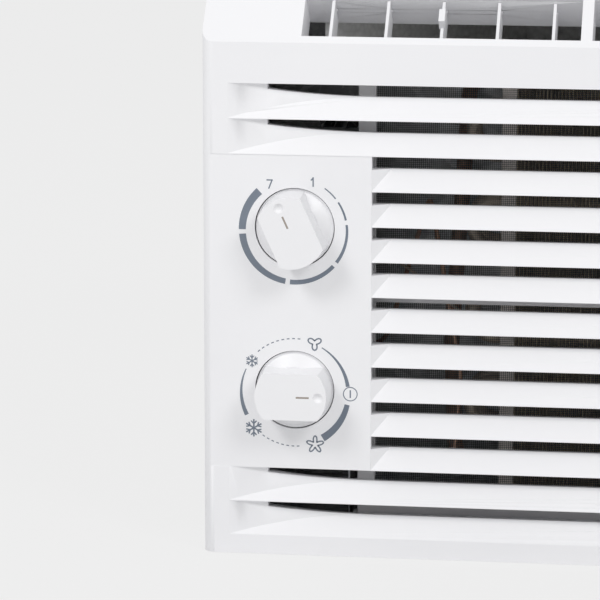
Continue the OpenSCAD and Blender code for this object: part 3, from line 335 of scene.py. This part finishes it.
def prism(mesh, outline, offset):
    # a closed prism from an outline of points, pushed along offset
    near = [mesh.verts.new(p) for p in outline]
    far = [mesh.verts.new(Vector(p) + Vector(offset)) for p in outline]
    count = len(outline)
    for i in range(count):
        j = (i + 1) % count
        mesh.faces.new((near[i], near[j], far[j], far[i]))
    mesh.faces.new(near[::-1])
    mesh.faces.new(far)


def strip(mesh, left, right, offset):
    # a closed band between two lines of points, pushed along offset
    rows = [[mesh.verts.new(Vector(p) + Vector(o)) for p in line]
            for line in (left, right) for o in ((0, 0, 0), offset)]
    a, b, c, d = rows
    for i in range(len(left) - 1):
        mesh.faces.new((a[i], a[i + 1], c[i + 1], c[i]))
        mesh.faces.new((b[i], d[i], d[i + 1], b[i + 1]))
        mesh.faces.new((a[i], b[i], b[i + 1], a[i + 1]))
        mesh.faces.new((c[i], c[i + 1], d[i + 1], d[i]))
    mesh.faces.new((a[0], c[0], d[0], b[0]))
    mesh.faces.new((a[-1], b[-1], d[-1], c[-1]))


# Fin packs: thin corrugated plates set side by side
fins = {"pitch": 0.00195, "thickness": 0.00016, "wave": 0.00028, "folds": 8}


def finPack(name, material, node):
    low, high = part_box(node)
    inner = low.x + fins["wave"] + fins["thickness"]
    outer = high.x - fins["wave"] - fins["thickness"]
    count = round((outer - inner) / fins["pitch"])
    step = (outer - inner) / count

    def plates(mesh):
        for i in range(count + 1):
            x = inner + i * step
            left = []
            right = []
            for fold in range(fins["folds"] + 1):
                y = low.y + (high.y - low.y) * fold / fins["folds"]
                bend = fins["wave"] * (0.5 if fold % 2 else -0.5)
                left.append((x + bend - fins["thickness"] / 2, y, low.z))
                right.append((x + bend + fins["thickness"] / 2, y, low.z))
            strip(mesh, left, right, (0, 0, high.z - low.z))

    piece = buildPiece(name, material, "housing", [plates])
    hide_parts(node)


finPack("evaporatorFinPack", coatedFin, "evaporator_fins")
finPack("condenserFinPack", brightFin, "condenser_fins")
print("fins built")


# Filter net: upright and level strands moulded together
net = {"pitch": 0.00105, "upright": 0.00022, "level": 0.0002, "slope": 0.4}
netLow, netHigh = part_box("filter_mesh")


def netStrands(mesh):
    depth = (netHigh.y - netLow.y) / 2
    columns = round((netHigh.x - netLow.x) / net["pitch"])
    rows = round((netHigh.z - netLow.z) / net["pitch"])
    for i in range(1, columns):
        x = netLow.x + (netHigh.x - netLow.x) * i / columns
        half = net["upright"] / 2
        prism(mesh, [(x - half, netLow.y + half * net["slope"], netLow.z), (x, netLow.y, netLow.z),
                     (x + half, netLow.y + half * net["slope"], netLow.z), (x, netLow.y + depth, netLow.z)],
              (0, 0, netHigh.z - netLow.z))
    for i in range(1, rows):
        z = netLow.z + (netHigh.z - netLow.z) * i / rows
        half = net["level"] / 2
        prism(mesh, [(netLow.x, netLow.y + depth * 0.6, z - half), (netLow.x, netLow.y + depth * 0.5, z),
                     (netLow.x, netLow.y + depth * 0.6, z + half), (netLow.x, netHigh.y, z)],
              (netHigh.x - netLow.x, 0, 0))


filterNet = buildPiece("filterNet", netStrand, "filter", [netStrands])
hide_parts("filter_mesh")
print("net built")


# Printed dials on the control face
panelLow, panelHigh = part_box("front_panel")
# The face lies a step behind the slat edges; the ink stands a little proud of it
inkPrint = {"stepBack": 0.0003, "proud": 0.00005, "sunk": 0.00005, "drop": 0.0014}
faceY = panelLow.y + inkPrint["stepBack"] - inkPrint["proud"]
inkDepth = (0, inkPrint["proud"] + inkPrint["sunk"], 0)


def knobCentre(node):
    low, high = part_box(node)
    return Vector(((low.x + high.x) / 2, faceY, (low.z + high.z) / 2 - inkPrint["drop"]))


def around(centre, angle, radius):
    turn = math.radians(angle)
    return centre + Vector((math.sin(turn) * radius, 0, math.cos(turn) * radius))


def arc(centre, radius, start, end, startWidth, endWidth):
    def add(mesh):
        steps = max(2, round((end - start) / 2))
        inner = []
        outer = []
        for i in range(steps + 1):
            share = i / steps
            angle = start + (end - start) * share
            half = (startWidth + (endWidth - startWidth) * share) / 2
            inner.append(around(centre, angle, radius - half))
            outer.append(around(centre, angle, radius + half))
        strip(mesh, inner, outer, inkDepth)
    return add


def stroke(points, width, level=0):
    # a flat line through points, one closed bar for each span; each bar lies a hair above the last
    def add(mesh):
        for i, (a, b) in enumerate(zip(points, points[1:])):
            along = (b - a).normalized() * (width / 2)
            side = Vector((along.z, 0, -along.x))
            lift = Vector((0, -0.000003 * (2 * level + i % 2), 0))
            corners = [a - along + side, b + along + side, b + along - side, a - along - side]
            prism(mesh, [corner + lift for corner in corners], inkDepth)
    return add


def outlineLoop(centre, radiusAt, width, steps=60):
    # a closed line whose distance from the centre follows radiusAt(angle)
    points = [around(centre, 360 * i / steps, radiusAt(360 * i / steps)) for i in range(steps + 1)]
    return stroke(points, width)


def snowflake(centre, size, width):
    parts = []
    for arm in range(6):
        angle = arm * 60
        parts.append(stroke([centre, around(centre, angle, size)], width, arm))
        fork = around(centre, angle, size * 0.52)
        for side in (-42, 42):
            level = 6 if side < 0 else 7
            parts.append(stroke([fork, around(fork, angle + side, size * 0.42)], width * 0.85, level))
    return parts


def fanOutline(centre, blades, size, width, turn):
    def radiusAt(angle):
        wave = math.cos(math.radians((angle - turn) * blades))
        return size * (0.67 + 0.33 * wave)
    return [outlineLoop(centre, radiusAt, width, 12 * blades)]


# Temperature dial: six bars growing thicker clockwise, between the digits 1 and 7
tempDial = {"radius": 0.0281, "digitRadius": 0.0281, "digitHeight": 0.0044, "digitWidth": 0.0007,
            "bars": [(35, 51.4, 0.6, 0.7), (56.2, 77.6, 0.9, 1.1), (82.7, 126.9, 1.2, 1.8),
                     (132.3, 185.1, 2.1, 2.6), (190.1, 265.1, 3.0, 3.7), (270, 317.8, 3.8, 4.3)]}
tempCentre = knobCentre("temp_knob")
tempParts = [arc(tempCentre, tempDial["radius"], a, b, s / 1000, e / 1000)
             for a, b, s, e in tempDial["bars"]]
oneAt = around(tempCentre, 20.7, tempDial["digitRadius"])
sevenAt = around(tempCentre, 331.6, tempDial["digitRadius"])
tall = tempDial["digitHeight"] / 2
tempParts.append(stroke([oneAt + Vector((-0.0009, 0, tall - 0.0011)), oneAt + Vector((0, 0, tall)),
                         oneAt + Vector((0, 0, -tall))], tempDial["digitWidth"]))
tempParts.append(stroke([sevenAt + Vector((-0.0013, 0, tall)), sevenAt + Vector((0.0013, 0, tall)),
                         sevenAt + Vector((-0.0004, 0, -tall))], tempDial["digitWidth"]))
buildPiece("tempDialPrint", printInk, "housing", tempParts)

# Mode dial: fan, off, strong fan, cool and low cool marks joined by tapering bars and dashes
modeDial = {"radius": 0.029, "line": 0.00055,
            "bars": [(30.3, 82.1, 0.5, 2.1), (101.8, 148.4, 2.7, 4.1), (243.4, 295.2, 2.3, 0.5)],
            "dashes": [(317.8, 366, 9), (175, 216, 8)]}
modeCentre = knobCentre("mode_knob")
modeParts = [arc(modeCentre, modeDial["radius"], a, b, s / 1000, e / 1000)
             for a, b, s, e in modeDial["bars"]]
for start, end, count in modeDial["dashes"]:
    step = (end - start) / (count - 0.5)
    for i in range(count):
        modeParts.append(arc(modeCentre, modeDial["radius"] + 0.0006, start + i * step,
                             start + (i + 0.5) * step, modeDial["line"], modeDial["line"]))
buildPiece("modeDialPrint", printInk, "housing", modeParts)

symbols = {"ring": 0.0295, "fan": 0.0039, "strongFan": 0.0047, "snow": 0.0044, "smallSnow": 0.0032,
           "offRing": 0.0037, "line": 0.0007}
symbolParts = fanOutline(around(modeCentre, 21.5, symbols["ring"]), 3, symbols["fan"], symbols["line"], 60)
symbolParts += fanOutline(around(modeCentre, 158.6, symbols["ring"] + 0.001), 5, symbols["strongFan"],
                          symbols["line"], 0)
symbolParts += snowflake(around(modeCentre, 227.7, symbols["ring"] + 0.0005), symbols["snow"], 0.0008)
symbolParts += snowflake(around(modeCentre, 306, symbols["ring"] - 0.001), symbols["smallSnow"], 0.0006)
offAt = around(modeCentre, 90, symbols["ring"] + 0.0006)
symbolParts.append(arc(offAt, symbols["offRing"], 0, 360, 0.0005, 0.0005))
symbolParts.append(stroke([offAt + Vector((0, 0, 0.0018)), offAt - Vector((0, 0, 0.0018))], 0.0007))
buildPiece("modeSymbolPrint", printInk, "housing", symbolParts)
print("dials printed")


# Floor, light and camera

def flatPlane(name, size, material):
    mesh = bmesh.new()
    bmesh.ops.create_grid(mesh, x_segments=8, y_segments=8, size=size)
    data = bpy.data.meshes.new(name)
    mesh.to_mesh(data)
    mesh.free()
    data.materials.append(material)
    plane = bpy.data.objects.new(name, data)
    scene.collection.objects.link(plane)
    return plane


def floorMaterial():
    material, tree, shader = newMaterial("floorPaper")
    tree.links.new(ramp(tree, noise(tree, objectPoint(tree), 3), (0.78, 0.78, 0.78), (0.8, 0.8, 0.8)),
                   shader.inputs["Base Color"])
    shader.inputs["Roughness"].default_value = 0.9
    shader.inputs["Specular IOR Level"].default_value = 0.1
    output = next(n for n in tree.nodes if n.type == "OUTPUT_MATERIAL")
    pale = tree.nodes.new("ShaderNodeEmission")
    pale.inputs["Color"].default_value = (0.866, 0.866, 0.866, 1)
    rays = tree.nodes.new("ShaderNodeLightPath")
    share = tree.nodes.new("ShaderNodeMath")
    share.operation = "MULTIPLY"
    share.inputs[1].default_value = 0.92  # the rest of what the camera sees keeps the shadow
    tree.links.new(rays.outputs["Is Camera Ray"], share.inputs[0])
    mix = tree.nodes.new("ShaderNodeMixShader")
    tree.links.new(share.outputs[0], mix.inputs[0])
    tree.links.new(shader.outputs["BSDF"], mix.inputs[1])
    tree.links.new(pale.outputs[0], mix.inputs[2])
    tree.links.new(mix.outputs[0], output.inputs["Surface"])
    return material


floor = flatPlane("studioFloor", 30, floorMaterial())
floor.location.z = cadBox[0][2] - 0.0005  # a hair below the pan

world = bpy.data.worlds.new("studio")
scene.world = world
world.use_nodes = True
tree = world.node_tree
tree.nodes.clear()
worldOutput = tree.nodes.new("ShaderNodeOutputWorld")
soft = tree.nodes.new("ShaderNodeBackground")
soft.inputs["Color"].default_value = (0.985, 0.99, 1, 1)
soft.inputs["Strength"].default_value = 0.585
pale = tree.nodes.new("ShaderNodeBackground")
pale.inputs["Color"].default_value = (0.866, 0.866, 0.866, 1)
rays = tree.nodes.new("ShaderNodeLightPath")
mixed = tree.nodes.new("ShaderNodeMixShader")
tree.links.new(rays.outputs["Is Camera Ray"], mixed.inputs[0])
tree.links.new(soft.outputs[0], mixed.inputs[1])
tree.links.new(pale.outputs[0], mixed.inputs[2])
tree.links.new(mixed.outputs[0], worldOutput.inputs["Surface"])


def softLight(name, place, power, size):
    data = bpy.data.lights.new(name, "AREA")
    data.energy = power
    data.size = size
    data.color = (1, 0.995, 0.985)
    light = bpy.data.objects.new(name, data)
    light.location = place
    aim = Vector((0, -0.1, 0.15)) - Vector(place)
    light.rotation_euler = aim.to_track_quat("-Z", "Y").to_euler()
    scene.collection.objects.link(light)


# Two soft boxes, high at the left and the right
softboxes = {"side": 1.25, "front": -1.6, "height": 1.75, "size": 0.7, "left": 18, "right": 16}
softLight("leftSoftbox", (-softboxes["side"], softboxes["front"], softboxes["height"]),
          softboxes["left"], softboxes["size"])
softLight("rightSoftbox", (softboxes["side"], softboxes["front"], softboxes["height"]),
          softboxes["right"], softboxes["size"])

view = {"focal": 209.1, "sensor": 36, "place": (0.08845, -1.9885, 0.51432), "down": 0.202, "left": 0.1313}
lens = bpy.data.cameras.new("camera")
lens.lens = view["focal"]
lens.sensor_width = view["sensor"]
camera = bpy.data.objects.new("camera", lens)
camera.location = view["place"]
camera.rotation_euler = (math.pi / 2 - view["down"], 0, view["left"])
scene.collection.objects.link(camera)
scene.camera = camera
scene.view_settings.view_transform = "Standard"
print("stage set")
